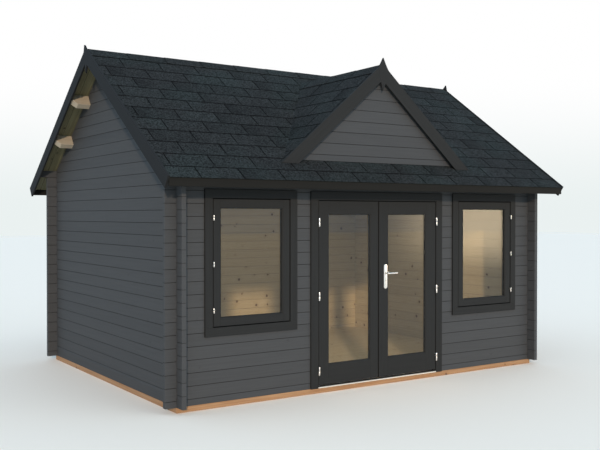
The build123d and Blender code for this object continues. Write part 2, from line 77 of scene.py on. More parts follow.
roof = {
    "pitch": math.radians(34.9),
    "ridge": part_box("roof_covering_front")[1].z,
    "covering": 0.008,
    "verge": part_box("roof_covering_front")[1].x,
    "eave": -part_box("roof_covering_front")[0].y,
    "fascia": -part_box("fascia_front")[1].y,
}
dormer = {
    "pitch": math.radians(40.7),
    "ridge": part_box("dormer_covering_left")[1].z,
    "front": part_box("dormer_covering_left")[0].y,
    "half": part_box("dormer_covering_right")[1].x,
    "scribe": 0.004,  # how far its covering is let into the main roof's
}
boards = {  # of the roof and the floor
    "wide": 0.096, "gap": 0.0012, "ease": 0.0026, "depth": 0.019, "over": 0.02, "floorWide": 0.1, "floorEase": 0.0018,
}
beamEase = 0.003
spireRise = 0.02  # a barge that ends this far over the ridge has a spire


# Mesh helpers

def only(kind, geometry):  # the verts, edges or faces of an operator's result
    return [g for g in geometry if isinstance(g, kind)]


def addBox(bm, start, end):  # between any two opposite corners
    low, high = Vector(map(min, start, end)), Vector(map(max, start, end))
    made = bmesh.ops.create_cube(bm, size=1.0)["verts"]
    bmesh.ops.scale(bm, vec=high - low, verts=made)
    bmesh.ops.translate(bm, vec=(low + high) / 2, verts=made)
    return made


def addRod(bm, start, end, radius, sides=20, endRadius=None):
    start, end = Vector(start), Vector(end)
    turn = Vector((0, 0, 1)).rotation_difference(end - start).to_matrix().to_4x4()
    return bmesh.ops.create_cone(
        bm, cap_ends=True, segments=sides, radius1=radius, radius2=endRadius or radius,
        depth=(end - start).length, matrix=Matrix.Translation((start + end) / 2) @ turn,
    )["verts"]


def easeEdges(bm, width, segments=2, sharper=50):  # rounds the outward edges that are sharper than this
    sharp = [
        e for e in bm.edges
        if len(e.link_faces) == 2 and e.is_convex and e.calc_face_angle() > math.radians(sharper)
    ]
    bmesh.ops.bevel(
        bm, geom=sharp, offset=width, segments=segments, profile=0.5, affect="EDGES", material=-1,
        clamp_overlap=True,
    )


def mitredRing(bm, opening, profile):  # a closed frame round an opening, from (outward, depth) pairs
    centre, wide, low, high = opening
    middle = Vector((centre, 0, (low + high) / 2))
    flat = Matrix.Rotation(math.radians(90), 4, "X") @ Matrix.Rotation(math.radians(45), 4, "Z")
    corners = bmesh.ops.create_circle(bm, cap_ends=False, segments=4, radius=math.sqrt(0.5), matrix=flat)["verts"]
    bmesh.ops.translate(bm, vec=middle, verts=corners)
    edges = [e for e in bm.edges if e.verts[0] in corners]
    size, depth = (1.0, 1.0), 0.0
    for out, far in profile + profile[:1]:
        goal = (wide + 2 * out, high - low + 2 * out)
        ratio = (goal[0] / size[0], 1, goal[1] / size[1])
        bmesh.ops.scale(bm, vec=ratio, space=Matrix.Translation(-middle), verts=corners)
        bmesh.ops.translate(bm, vec=(0, far - depth, 0), verts=corners)
        size, depth = goal, far
        swept = bmesh.ops.extrude_edge_only(bm, edges=edges)["geom"]
        corners, edges = only(bmesh.types.BMVert, swept), only(bmesh.types.BMEdge, swept)
    bmesh.ops.delete(bm, geom=corners, context="VERTS")
    bmesh.ops.remove_doubles(bm, verts=bm.verts, dist=1e-6)
    bmesh.ops.recalc_face_normals(bm, faces=bm.faces)


def cutAway(bm, point, normal):  # takes off what lies on the side that the normal points to
    geometry = bm.verts[:] + bm.edges[:] + bm.faces[:]
    cut = bmesh.ops.bisect_plane(
        bm, geom=geometry, dist=1e-6, plane_co=point, plane_no=normal, clear_outer=True
    )["geom_cut"]
    bmesh.ops.holes_fill(bm, edges=only(bmesh.types.BMEdge, cut), sides=0)


def finishPiece(name, bm, material, body, slotName, replaced=()):
    mesh = bpy.data.meshes.new(name)
    for face in bm.faces:
        face.smooth = True
    bm.to_mesh(mesh)
    bm.free()
    sharp = 35 if slotName == "fittings" else 8  # wood keeps its flat faces flat beside the eased edges
    mesh.set_sharp_from_angle(angle=math.radians(sharp))
    mesh.materials.append(material)
    piece = bpy.data.objects.new(name, mesh)
    bpy.context.collection.objects.link(piece)
    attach(piece, body)
    if replaced:
        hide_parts(*replaced)
    return piece


# Node helpers

def addNode(tree, kind, feeds=None, **settings):  # feeds are values or the outputs of other nodes
    made = tree.nodes.new("ShaderNode" + kind)
    for key, value in settings.items():
        setattr(made, key, value)
    for key, value in (feeds or {}).items():
        if isinstance(value, bpy.types.NodeSocket):
            tree.links.new(value, made.inputs[key])
        else:
            made.inputs[key].default_value = value
    return made


def calc(tree, operation, first, second=0.0, third=0.0):
    return addNode(tree, "Math", {0: first, 1: second, 2: third}, operation=operation).outputs[0]


def spread(tree, value, low, high, outLow=0.0, outHigh=1.0):  # smooth step from one range to another
    feeds = {"Value": value, "From Min": low, "From Max": high, "To Min": outLow, "To Max": outHigh}
    return addNode(tree, "MapRange", feeds, interpolation_type="SMOOTHSTEP").outputs[0]


def blendColour(tree, factor, first, second, how="MIX"):
    mixer = addNode(tree, "Mix", data_type="RGBA", blend_type=how)
    for index, value in ((0, factor), (6, first), (7, second)):
        if isinstance(value, bpy.types.NodeSocket):
            tree.links.new(value, mixer.inputs[index])
        else:
            mixer.inputs[index].default_value = value
    return mixer.outputs[2]


def evenGrey(tree, value):
    return addNode(tree, "CombineColor", {0: value, 1: value, 2: value}).outputs[0]


def objectAxes(tree):  # a point's X, Y and Z in the object
    return addNode(tree, "SeparateXYZ", {0: addNode(tree, "TexCoord").outputs["Object"]}).outputs


def startMaterial(name):
    material = bpy.data.materials.new(name)
    material.use_nodes = True
    tree = material.node_tree
    return material, tree, tree.nodes["Principled BSDF"]


# Wood. Boards lie side by side across one axis, and each has its own grain, tone and knots.
axisX, axisY, axisZ = 0, 1, 2
grainFigure = {"run": 1.8, "rings": 75.0, "fineRun": 9.0, "fineRings": 420.0, "fineShare": 0.35, "bend": 0.02}
beamLook = {
    "light": (0.360, 0.212, 0.108, 1), "dark": (0.247, 0.122, 0.052, 1), "knot": (0.08, 0.035, 0.013, 1),
    "grain": 0.75, "tone": 0.15, "knots": 0.85, "knotEvery": 0.34, "knotRadius": 0.014,
    "joint": 0.55, "rough": 0.62, "shine": 0.26, "bump": 0.25,
}
spruceLook = dict(  # bare boards and logs in the room
    beamLook, light=(0.42, 0.340, 0.198, 1), dark=(0.31, 0.235, 0.122, 1), knot=(0.11, 0.062, 0.03, 1),
    grain=0.46, tone=0.10, joint=0.42, knots=0.95, knotEvery=0.27, knotRadius=0.017,
)
purlinLook = dict(spruceLook, light=(0.345, 0.308, 0.238, 1), dark=(0.255, 0.215, 0.155, 1), joint=0.0)
shadedSoffitLook = dict(  # the overhang's boards are darker and olive: painted shade of the eaves, tinted like light bounced from the ground
    beamLook, light=(0.168, 0.158, 0.088, 1), dark=(0.092, 0.082, 0.046, 1), knot=(0.035, 0.025, 0.013, 1)
)
wallLook = {
    "light": (0.0550, 0.0582, 0.0608, 1), "dark": (0.0450, 0.0476, 0.0498, 1), "knot": (0.036, 0.037, 0.038, 1),
    "grain": 0.5, "tone": 0.06, "knots": 0.30, "knotEvery": 0.42, "knotRadius": 0.013,
    "joint": 0.80, "rough": 0.72, "shine": 0.15, "bump": 0.30,
}
trimLook = {
    "light": (0.0236, 0.0249, 0.0250, 1), "dark": (0.0188, 0.0198, 0.0199, 1), "knot": (0.014, 0.0146, 0.0148, 1),
    "grain": 0.6, "tone": 0.10, "knots": 0.25, "knotEvery": 0.55, "knotRadius": 0.012,
    "joint": 0.0, "rough": 0.66, "shine": 0.07, "bump": 0.25,
}
# the main barges get a darker copy of the trim paint, painted shade because they stand out in more light than the trims
shadedBargeLook = dict(trimLook, light=(0.0170, 0.0182, 0.0190, 1), dark=(0.0135, 0.0145, 0.0151, 1))
# the fascia gets a darker, warmer copy of the trim paint: painted shade under the shingles' overhang
shadedFasciaLook = dict(trimLook, light=(0.0132, 0.0130, 0.0116, 1), dark=(0.0103, 0.0101, 0.0090, 1))


def boardColours(tree, look, along, across, boardWide=10.0, boardStart=-5.0, turn=(0, 0, 0)):
    place = addNode(tree, "TexCoord").outputs["Object"]
    place = addNode(tree, "Mapping", {"Vector": place, "Rotation": turn}).outputs[0]
    axes = addNode(tree, "SeparateXYZ", {0: place}).outputs
    run, over, deep = axes[along], axes[across], axes[3 - along - across]
    count = calc(tree, "DIVIDE", calc(tree, "SUBTRACT", over, boardStart), boardWide)
    number = calc(tree, "FLOOR", count)
    chance = addNode(tree, "TexWhiteNoise", {"W": number}, noise_dimensions="1D").outputs["Value"]
    ownRun = calc(tree, "MULTIPLY_ADD", chance, 31.0, run)
    ownOver = calc(tree, "MULTIPLY_ADD", chance, 7.0, over)
    # knots, and the grain that bends round them
    knotPlace = addNode(tree, "CombineXYZ", {0: ownRun, 1: ownOver}).outputs[0]
    knots = addNode(
        tree, "TexVoronoi", {"Vector": knotPlace, "Scale": 1 / look["knotEvery"]}, voronoi_dimensions="2D"
    ).outputs
    size = spread(tree, addNode(tree, "SeparateColor", {0: knots["Color"]}).outputs[0], 0.1, 1.0, 0.25, 1.35)
    knotAway = calc(tree, "DIVIDE", calc(tree, "MULTIPLY", knots["Distance"], look["knotEvery"]), size)
    near = spread(tree, knotAway, 0.0, look["knotRadius"] * 4, 1.0, 0.0)
    knot = spread(tree, knotAway, look["knotRadius"] * 0.55, look["knotRadius"], 1.0, 0.0)
    bent = calc(tree, "MULTIPLY_ADD", near, grainFigure["bend"], ownOver)

    def stretched(runScale, ringScale):
        pairs = enumerate(((ownRun, runScale), (bent, ringScale), (deep, ringScale)))
        return addNode(tree, "CombineXYZ", {n: calc(tree, "MULTIPLY", *pair) for n, pair in pairs}).outputs[0]

    wide = {"Vector": stretched(grainFigure["run"], grainFigure["rings"]), "Scale": 1.0}
    figure = addNode(tree, "TexNoise", wide | {"Detail": 5.0, "Roughness": 0.55, "Distortion": 0.5}).outputs[0]
    narrow = {"Vector": stretched(grainFigure["fineRun"], grainFigure["fineRings"]), "Scale": 1.0}
    fine = addNode(tree, "TexNoise", narrow | {"Detail": 2.0}).outputs[0]
    share = grainFigure["fineShare"]
    grain = calc(tree, "MULTIPLY_ADD", fine, share, calc(tree, "MULTIPLY", figure, 1 - share))
    grain = spread(tree, grain, 0.36, 0.64)
    colour = blendColour(tree, calc(tree, "MULTIPLY", grain, look["grain"]), look["light"], look["dark"])
    colour = blendColour(tree, calc(tree, "MULTIPLY", near, 0.35 * look["knots"]), colour, look["dark"])
    colour = blendColour(tree, calc(tree, "MULTIPLY", knot, look["knots"]), colour, look["knot"])
    tone = calc(tree, "MULTIPLY_ADD", chance, look["tone"], 1.0 - look["tone"] / 2)
    colour = blendColour(tree, 1.0, colour, evenGrey(tree, tone), "MULTIPLY")
    inBoard = calc(tree, "FRACT", count)
    edge = calc(tree, "MULTIPLY", calc(tree, "MINIMUM", inBoard, calc(tree, "SUBTRACT", 1.0, inBoard)), boardWide)
    joint = spread(tree, edge, 0.0016, 0.0032, 1.0, 0.0)
    colour = blendColour(tree, calc(tree, "MULTIPLY", joint, look["joint"]), colour, (0.01, 0.009, 0.008, 1))
    height = calc(tree, "SUBTRACT", 1.0, calc(tree, "MULTIPLY_ADD", knot, -0.3, grain))
    return colour, height


def endGrain(tree, colour, axis, early, late):  # growth rings where a timber is cut across
    parts = addNode(tree, "SeparateXYZ", {0: addNode(tree, "TexCoord").outputs["Normal"]}).outputs
    mask = spread(tree, calc(tree, "ABSOLUTE", parts[axis]), 0.55, 0.65)
    place = addNode(tree, "TexCoord").outputs["Object"]
    place = addNode(tree, "Mapping", {"Vector": place, "Location": (0.3, 0.37, 0.3)}).outputs[0]
    feeds = {"Vector": place, "Scale": 38.0, "Distortion": 3.0, "Detail": 2.0, "Detail Scale": 1.5}
    rings = addNode(tree, "TexWave", feeds, wave_type="RINGS", rings_direction="XYZ"[axis]).outputs["Fac"]
    cut = blendColour(tree, calc(tree, "MULTIPLY", rings, 0.5), early, late)
    return blendColour(tree, mask, colour, cut)


def finishWood(tree, shader, look, colour, height):
    tree.links.new(colour, shader.inputs["Base Color"])
    shader.inputs["Roughness"].default_value = look["rough"]
    shader.inputs["Specular IOR Level"].default_value = look["shine"]
    bump = addNode(tree, "Bump", {"Height": height, "Strength": look["bump"], "Distance": 0.0006})
    tree.links.new(bump.outputs[0], shader.inputs["Normal"])


def woodMaterial(name, look, along, across, ends=False, **layout):
    material, tree, shader = startMaterial(name)
    colour, height = boardColours(tree, look, along, across, **layout)
    if ends:
        colour = endGrain(tree, colour, along, look["light"], look["dark"])
    finishWood(tree, shader, look, colour, height)
    return material


def withinRoom(tree, halfWide, halfDeep):  # 1 in the room and 0 outside
    axes = objectAxes(tree)
    inWidth = calc(tree, "LESS_THAN", calc(tree, "ABSOLUTE", axes[axisX]), halfWide)
    inDepth = calc(tree, "LESS_THAN", calc(tree, "ABSOLUTE", axes[axisY]), halfDeep)
    return calc(tree, "MULTIPLY", inWidth, inDepth)


def wallMaterial(name, along, start):  # stained outside and on the log ends, bare spruce in the room
    material, tree, shader = startMaterial(name)
    outside, height = boardColours(tree, wallLook, along, axisZ, boardWide=logHigh, boardStart=start)
    inside = boardColours(tree, spruceLook, along, axisZ, boardWide=logHigh, boardStart=start)[0]
    room = withinRoom(tree, (sideFace + innerSide) / 2, -(frontFace + innerFace) / 2)
    finishWood(tree, shader, wallLook, blendColour(tree, room, outside, inside), height)
    return material


wood = {
    "wallLong": wallMaterial("wall_logs_along", axisX, frontJoint),
    "wallDeep": wallMaterial("wall_logs_across", axisY, sideJoint),
    "gable": woodMaterial("dormer_logs", wallLook, axisX, axisZ, boardWide=logHigh, boardStart=dormerJoint),
    "level": woodMaterial("trim_level", trimLook, axisX, axisZ),
    "upright": woodMaterial("trim_upright", trimLook, axisZ, axisX),
    # the main barges take the darker copy of the trim paint, which is painted shade
    "slopeFront": woodMaterial("trim_slope_front_shaded", shadedBargeLook, axisY, axisZ, turn=(-roof["pitch"], 0, 0)),
    "slopeBack": woodMaterial("trim_slope_back_shaded", shadedBargeLook, axisY, axisZ, turn=(roof["pitch"], 0, 0)),
    "dormerLeft": woodMaterial("trim_dormer_left", trimLook, axisX, axisZ, turn=(0, dormer["pitch"], 0)),
    "dormerRight": woodMaterial("trim_dormer_right", trimLook, axisX, axisZ, turn=(0, -dormer["pitch"], 0)),
    # the fascia takes the darker, warmer copy of the trim paint, which is painted shade
    "fascia": woodMaterial("trim_fascia_shaded", shadedFasciaLook, axisX, axisZ),
    "beamLong": woodMaterial("beam_along", beamLook, axisX, axisZ, ends=True),
    "beamDeep": woodMaterial("beam_across", beamLook, axisY, axisZ, ends=True),
    "purlin": woodMaterial("purlin_spruce", purlinLook, axisX, axisZ, ends=True),
    "floor": woodMaterial(
        "floor_spruce", dict(spruceLook, joint=0.0), axisX, axisY, boardWide=boards["floorWide"], boardStart=innerFace
    ),
}
print("wood finishes ready")


# Solid timbers: the CAD pieces again with eased edges
def sharpenSpire(bm, axis, deep=0.14, hollow=0.8):  # the flanks run hollow from their feet to the tip
    tip = max(bm.verts, key=lambda v: v.co.z).co.copy()
    for side in (-1, 1):
        flank = [v for v in bm.verts if tip.z - v.co.z < deep and (v.co[axis] - tip[axis]) * side > 0.0005]
        foot = min(flank, key=lambda v: v.co.z).co.copy()
        for v in flank:
            rise = (v.co.z - foot.z) / (tip.z - foot.z)
            v.co[axis] = foot[axis] + (tip[axis] - foot[axis]) * max(rise, 0) ** hollow


def makeTimber(node, finish, slotName, ease=0.002, spireAlong=None):
    bm = bmesh.new()
    bm.from_mesh(nodes[node].data)
    bmesh.ops.remove_doubles(bm, verts=bm.verts, dist=1e-5)
    bmesh.ops.dissolve_limit(bm, angle_limit=math.radians(0.5), verts=bm.verts, edges=bm.edges)
    if spireAlong is not None:
        sharpenSpire(bm, spireAlong)
    easeEdges(bm, ease)
    finishPiece(node + "_timber", bm, wood[finish], "house", slotName, (node,))


longWalls = ("front_wall_left", "front_wall_right", "front_wall_over_door", "back_wall")
for node in longWalls + ("plate_log_front", "plate_log_back"):
    makeTimber(node, "wallLong", "wall_stain")
for node in ("left_wall", "right_wall"):
    makeTimber(node, "wallDeep", "wall_stain")
makeTimber("dormer_gable", "gable", "wall_stain")
makeTimber("ridge_purlin", "purlin", "bare_timber", beamEase)
for node in ("base_beam_front", "base_beam_back"):
    makeTimber(node, "beamLong", "bare_timber", beamEase)
for node in ("base_beam_left", "base_beam_right"):
    makeTimber(node, "beamDeep", "bare_timber", beamEase)
for slope in ("front", "back"):
    for place in ("upper", "lower"):
        makeTimber("purlin_" + slope + "_" + place, "purlin", "bare_timber", beamEase)
    makeTimber("fascia_" + slope, "fascia", "trim_stain")
    for end in ("left", "right"):
        node = "barge_" + end + "_" + slope
        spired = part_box(node)[1].z > roof["ridge"] + spireRise
        makeTimber(node, "slope" + slope.capitalize(), "trim_stain", spireAlong=axisY if spired else None)
makeTimber("dormer_barge_left", "dormerLeft", "trim_stain")
makeTimber("dormer_barge_right", "dormerRight", "trim_stain", spireAlong=axisX)
print("walls, beams, purlins and barges ready")


# Slopes: u runs along the ridge, v down the slope and w out of it, from the boards' upper face
def mainSlope(side):
    c, s = math.cos(roof["pitch"]), math.sin(roof["pitch"])
    foot = roof["ridge"] - roof["covering"] / c
    return Matrix(((side, 0, 0, 0), (0, side * c, side * s, 0), (0, -s, c, foot), (0, 0, 0, 1)))


def dormerSlope(side):
    c, s = math.cos(dormer["pitch"]), math.sin(dormer["pitch"])
    foot = dormer["ridge"] - roof["covering"] / c
    return Matrix(((0, side * c, side * s, 0), (-side, 0, 0, 0), (0, -s, c, foot), (0, 0, 0, 1)))


mainNormal = Vector((0, -math.sin(roof["pitch"]), math.cos(roof["pitch"])))


# Roof boards, running up the slope
def makeRoofBoardMaterial(side):
    material, tree, shader = startMaterial("roof_boards_" + ("front" if side < 0 else "back"))
    turn = (side * roof["pitch"], 0, 0)
    size = {"boardWide": boards["wide"], "boardStart": -roof["verge"]}
    # outside the room the boards are painted darker and olive, painted shade under the eaves
    outside, height = boardColours(tree, shadedSoffitLook, axisY, axisX, turn=turn, **size)
    inside = boardColours(tree, dict(spruceLook, joint=0.0), axisY, axisX, turn=turn, **size)[0]
    colour = blendColour(tree, withinRoom(tree, innerSide, -innerFace), outside, inside)
    finishWood(tree, shader, spruceLook, colour, height)
    return material


for side, slope in ((-1, "front"), (1, "back")):
    bm = bmesh.new()
    slopeLong = roof["fascia"] / math.cos(roof["pitch"]) + boards["over"]
    for n in range(math.ceil(2 * roof["verge"] / boards["wide"])):
        low = -roof["verge"] + n * boards["wide"]
        high = min(low + boards["wide"] - boards["gap"], roof["verge"])
        addBox(bm, (low, -boards["over"], -boards["depth"]), (high, slopeLong, 0))
    easeEdges(bm, boards["ease"], segments=1)
    bmesh.ops.transform(bm, matrix=mainSlope(side), verts=bm.verts)
    cutAway(bm, (0, 0, 0), (0, -side, 0))
    cutAway(bm, (0, side * roof["fascia"], 0), (0, side, 0))
    node = "roof_boards_" + slope
    finishPiece(node + "_boarded", bm, makeRoofBoardMaterial(side), "house", "bare_timber", (node,))

bm = bmesh.new()
low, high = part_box("floor_boards")
for n in range(math.ceil((high.y - low.y) / boards["floorWide"])):
    near = low.y + n * boards["floorWide"]
    far = min(near + boards["floorWide"] - boards["gap"], high.y)
    addBox(bm, (low.x, near, low.z), (high.x, far, high.z))
easeEdges(bm, boards["floorEase"], segments=1)
finishPiece("floor_boards_laid", bm, wood["floor"], "house", "bare_timber", ("floor_boards",))


def giveMaterial(node, material):  # the CAD piece itself shows
    nodes[node].data.materials.clear()
    nodes[node].data.materials.append(material)


for node in ("floor_joists", "dormer_boards_left", "dormer_boards_right"):
    giveMaterial(node, wood["beamDeep"])
print("roof boards and floor laid")

# Shingles: rectangular tabs, each course lying on the one below and its joints half a tab aside
shingle = {
    "exposure": 0.206, "tab": 0.42, "slot": 0.007, "thick": 0.0026, "sheet": 0.0012, "headlap": 0.05,
    "firstEdge": 0.138, "evenJoint": -0.16, "oddJoint": 0.05, "lift": 0.0027, "curl": 0.0008,
    "capLong": 0.42, "capLap": 0.06, "capDrop": 0.0025, "capSlant": 0.48, "clear": 0.3, "sheetShort": 0.004,
}
granule = {
    "slate": (0.0190, 0.0214, 0.0220, 1), "green": (0.0160, 0.0209, 0.0211, 1), "drift": 1.7, "clump": 58.0,
    # the rim and the line under each butt are painted shade, the rim partly bare asphalt
    "coarse": 115.0, "single": 270.0, "tone": 0.22, "endDark": 0.30, "rim": 0.15, "paintedButtShadow": 0.20,
    "rough": 0.92, "shine": 0.10, "bump": 0.5,
}


def makeShingleMaterial():  # each tab holds its distances from its own left, right and the butt above it
    material, tree, shader = startMaterial("shingle_granules")
    place = addNode(tree, "TexCoord").outputs["Object"]

    def read(name, output):
        return addNode(tree, "Attribute", attribute_name=name, attribute_type="GEOMETRY").outputs[output]

    def grit(scale):
        cells = addNode(tree, "TexVoronoi", {"Vector": place, "Scale": scale}).outputs["Color"]
        return addNode(tree, "SeparateColor", {0: cells}).outputs[0]

    tone, shade = read("tone", "Fac"), read("shade", "Fac")
    fromLeft, fromRight, fromTop = addNode(tree, "SeparateXYZ", {0: read("spot", "Vector")}).outputs
    drift = addNode(tree, "TexNoise", {"Vector": place, "Scale": granule["drift"], "Detail": 3.0}).outputs[0]
    base = blendColour(tree, spread(tree, drift, 0.35, 0.65), granule["slate"], granule["green"])
    # granules in two sizes over clumps, so that the mix still shows from afar
    coarse, single = grit(granule["coarse"]), grit(granule["single"])
    feeds = {"Vector": place, "Scale": granule["clump"], "Detail": 3.0, "Roughness": 0.7}
    clump = addNode(tree, "TexNoise", feeds).outputs[0]
    mix = calc(tree, "MULTIPLY", spread(tree, clump, 0.36, 0.64), 0.42)
    mix = calc(tree, "MULTIPLY_ADD", single, 0.25, calc(tree, "MULTIPLY_ADD", coarse, 0.40, mix))
    cloud = spread(tree, drift, 0.36, 0.64, 0.88, 1.13)
    speck = calc(tree, "MULTIPLY", cloud, spread(tree, mix, 0.12, 0.98, 0.15, 2.0))
    # a tab's blend darkens toward one end, as the mix is dropped in batches
    batch = spread(tree, fromRight, 0.03, 0.22, 1.0, 0.0)
    dark = calc(tree, "MULTIPLY", calc(tree, "MULTIPLY", batch, shade), granule["endDark"])
    tone = calc(tree, "MULTIPLY_ADD", tone, granule["tone"], 1 - granule["tone"] / 2)
    strength = calc(tree, "MULTIPLY", tone, calc(tree, "SUBTRACT", 1.0, dark))
    strength = calc(tree, "MULTIPLY", strength, speck)
    # bare asphalt and painted shade along the butt and the sides, and a painted shadow line under the butt above
    fromButt = calc(tree, "SUBTRACT", shingle["exposure"], fromTop)
    line = calc(tree, "MINIMUM", calc(tree, "MINIMUM", fromLeft, fromRight), fromButt)
    # painted shade, partly bare asphalt: darker within a few millimetres of the butt and the sides, and the underlay
    # goes darkest
    rim = spread(tree, line, 0.0015, 0.0035, granule["rim"], 1.0)
    # a painted shadow line just under the butt of the course above
    paintedButtShadow = spread(tree, calc(tree, "ABSOLUTE", fromTop), 0.003, 0.009, granule["paintedButtShadow"], 1.0)
    strength = calc(tree, "MULTIPLY", strength, calc(tree, "MINIMUM", rim, paintedButtShadow))
    tree.links.new(blendColour(tree, 1.0, base, evenGrey(tree, strength), "MULTIPLY"), shader.inputs["Base Color"])
    shader.inputs["Roughness"].default_value = granule["rough"]
    shader.inputs["Specular IOR Level"].default_value = granule["shine"]
    height = calc(tree, "ADD", single, calc(tree, "ADD", coarse, clump))
    bump = addNode(tree, "Bump", {"Height": height, "Strength": granule["bump"], "Distance": 0.0015})
    tree.links.new(bump.outputs[0], shader.inputs["Normal"])
    return material


shingleMaterial = makeShingleMaterial()


def startShingles():
    bm = bmesh.new()
    tone, shade = bm.faces.layers.float.new("tone"), bm.faces.layers.float.new("shade")
    return bm, (tone, shade, bm.verts.layers.float_vector.new("spot"))


def markTab(made, layers, spots):  # spots are the distances of each corner
    toneLayer, shadeLayer, spotLayer = layers
    tone, shade = random.random(), random.choice((0.0, 0.0, 0.5, 1.0))
    for v in made:
        v[spotLayer] = spots(v.co)
    for face in {f for v in made for f in v.link_faces}:
        face[toneLayer] = tone
        face[shadeLayer] = shade


def layCourses(uLow, uHigh, slopeLong):
    bm, layers = startShingles()
    under, over = shingle["sheet"], shingle["sheet"] + shingle["thick"]
    sheet = addBox(bm, (uLow, 0, 0), (uHigh, slopeLong - shingle["sheetShort"], under))
    # the underlay's distances are all 0, which paints it with the darkest edge shade where it shows in the slots
    markTab(sheet, layers, lambda at: (0, 0, 0))
    course = 1
    edge = shingle["firstEdge"] + shingle["exposure"]
    while edge < slopeLong + shingle["exposure"]:
        joint = shingle["oddJoint"] if course % 2 else shingle["evenJoint"]
        butt = edge - shingle["exposure"]
        foot = min(edge, slopeLong)
        first = math.floor((uLow - joint) / shingle["tab"])
        last = math.ceil((uHigh - joint) / shingle["tab"])
        for n in range(first, last):
            low = max(joint + n * shingle["tab"] + shingle["slot"] / 2, uLow)
            high = min(joint + (n + 1) * shingle["tab"] - shingle["slot"] / 2, uHigh)
            if high - low > shingle["slot"]:
                tab = addBox(bm, (low, butt - shingle["headlap"], under), (high, foot, over))
                markTab(tab, layers, lambda at: (at.x - low, high - at.x, at.y - butt))
                for v in tab:
                    if v.co.y > butt:
                        v.co.z += shingle["lift"] + random.uniform(0, shingle["curl"])
        edge += shingle["exposure"]
        course += 1
    return bm


def layCaps(uLow, uHigh, pitch):  # folded strips over a ridge along X, whose line is at Z 0
    bm, layers = startShingles()
    reach = shingle["firstEdge"] * math.cos(pitch)
    start = uLow
    while start < uHigh - shingle["capLap"]:
        ahead = start + shingle["capLong"]
        end = min(ahead + shingle["capLap"], uHigh)
        cap = addBox(bm, (start, -reach, 0), (end, reach, shingle["thick"] / math.cos(pitch)))
        clear, slant = shingle["clear"], shingle["capSlant"]
        # the painted shadow line falls just before the butt of the next cap
        markTab(cap, layers, lambda at: (clear, clear, (ahead - at.x) * slant if end < uHigh else 0.1))
        for v in cap:
            if v.co.x < (start + end) / 2:
                v.co.z += shingle["thick"]
        start = ahead
    geometry = bm.verts[:] + bm.edges[:] + bm.faces[:]
    bmesh.ops.bisect_plane(bm, geom=geometry, dist=1e-6, plane_co=(0, 0, 0), plane_no=(0, 1, 0))
    for v in bm.verts:
        v.co.z -= abs(v.co.y) * math.tan(pitch)
    return bm


for side, slope in ((-1, "front"), (1, "back")):
    bm = layCourses(-roof["verge"], roof["verge"], roof["eave"] / math.cos(roof["pitch"]))
    bmesh.ops.transform(bm, matrix=mainSlope(side), verts=bm.verts)
    cutAway(bm, (0, 0, 0), (0, -side, 0))
    finishPiece("shingles_" + slope, bm, shingleMaterial, "house", "shingle", ("roof_covering_" + slope,))
bm = layCaps(-roof["verge"], roof["verge"], roof["pitch"])
bmesh.ops.translate(bm, vec=(0, 0, roof["ridge"] - shingle["capDrop"]), verts=bm.verts)
finishPiece("ridge_caps", bm, shingleMaterial, "house", "shingle")

valley = (0, 0, roof["ridge"] - dormer["scribe"])
for side, hand in ((-1, "left"), (1, "right")):
    bm = layCourses(*sorted((-side * dormer["front"], 0)), dormer["half"] / math.cos(dormer["pitch"]))
    bmesh.ops.transform(bm, matrix=dormerSlope(side), verts=bm.verts)
    cutAway(bm, (0, 0, 0), (-side, 0, 0))
    cutAway(bm, valley, -mainNormal)
    finishPiece("shingles_dormer_" + hand, bm, shingleMaterial, "house", "shingle", ("dormer_covering_" + hand,))
bm = layCaps(dormer["front"], 0, dormer["pitch"])
bmesh.ops.rotate(bm, matrix=Matrix.Rotation(math.radians(90), 3, "Z"), verts=bm.verts)
bmesh.ops.translate(bm, vec=(0, 0, dormer["ridge"] - shingle["capDrop"]), verts=bm.verts)
cutAway(bm, valley, -mainNormal)
finishPiece("dormer_ridge_caps", bm, shingleMaterial, "house", "shingle")
print("shingles laid")


rubber, tree, shader = startMaterial("seal_rubber")
for key, value in (("Base Color", (0.012, 0.012, 0.012, 1)), ("Roughness", 0.8), ("Specular IOR Level", 0.2)):
    shader.inputs[key].default_value = value

# Joinery: members butt at the corners, and mitred beads hold the glass
joinery = {
    "bead": 0.009, "beadSet": 0.001, "bite": 0.010, "ease": 0.002, "gap": 0.007, "shrink": 0.002, "stop": 0.015,
    "lining": 0.038,
}


def addMembers(uprights, levels, opening, widths, near, far, levelsRun=False):
    centre, wide, low, high = opening
    left, right, bottom, top = widths
    start, end = centre - wide / 2, centre + wide / 2
    tall = (low, high) if levelsRun else (low - bottom, high + top)
    across = (start - left, end + right) if levelsRun else (start, end)
    addBox(uprights, (start - left, near, tall[0]), (start, far, tall[1]))
    addBox(uprights, (end, near, tall[0]), (end + right, far, tall[1]))
    if bottom:
        addBox(levels, (across[0], near, low - bottom), (across[1], far, low))
    addBox(levels, (across[0], near, high), (across[1], far, high + top))


def widthsTo(opening, low, high):  # member widths from an opening out to a box
    centre, wide, bottom, top = opening
    return (centre - wide / 2 - low.x, high.x - centre - wide / 2, bottom - low.z, high.z - top)


def finishMembers(name, uprights, levels, body, replaced):
    for bm, part, finish in ((uprights, "uprights", "upright"), (levels, "rails", "level")):
        easeEdges(bm, joinery["ease"])
        finishPiece(name + "_" + part, bm, wood[finish], body, "trim_stain", replaced if part == "uprights" else ())


def glassOpening(node):  # what shows of a pane, as centre, width, bottom and top
    low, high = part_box(node)
    bite = joinery["bite"]
    return ((low.x + high.x) / 2, high.x - low.x - 2 * bite, low.z + bite, high.z - bite)


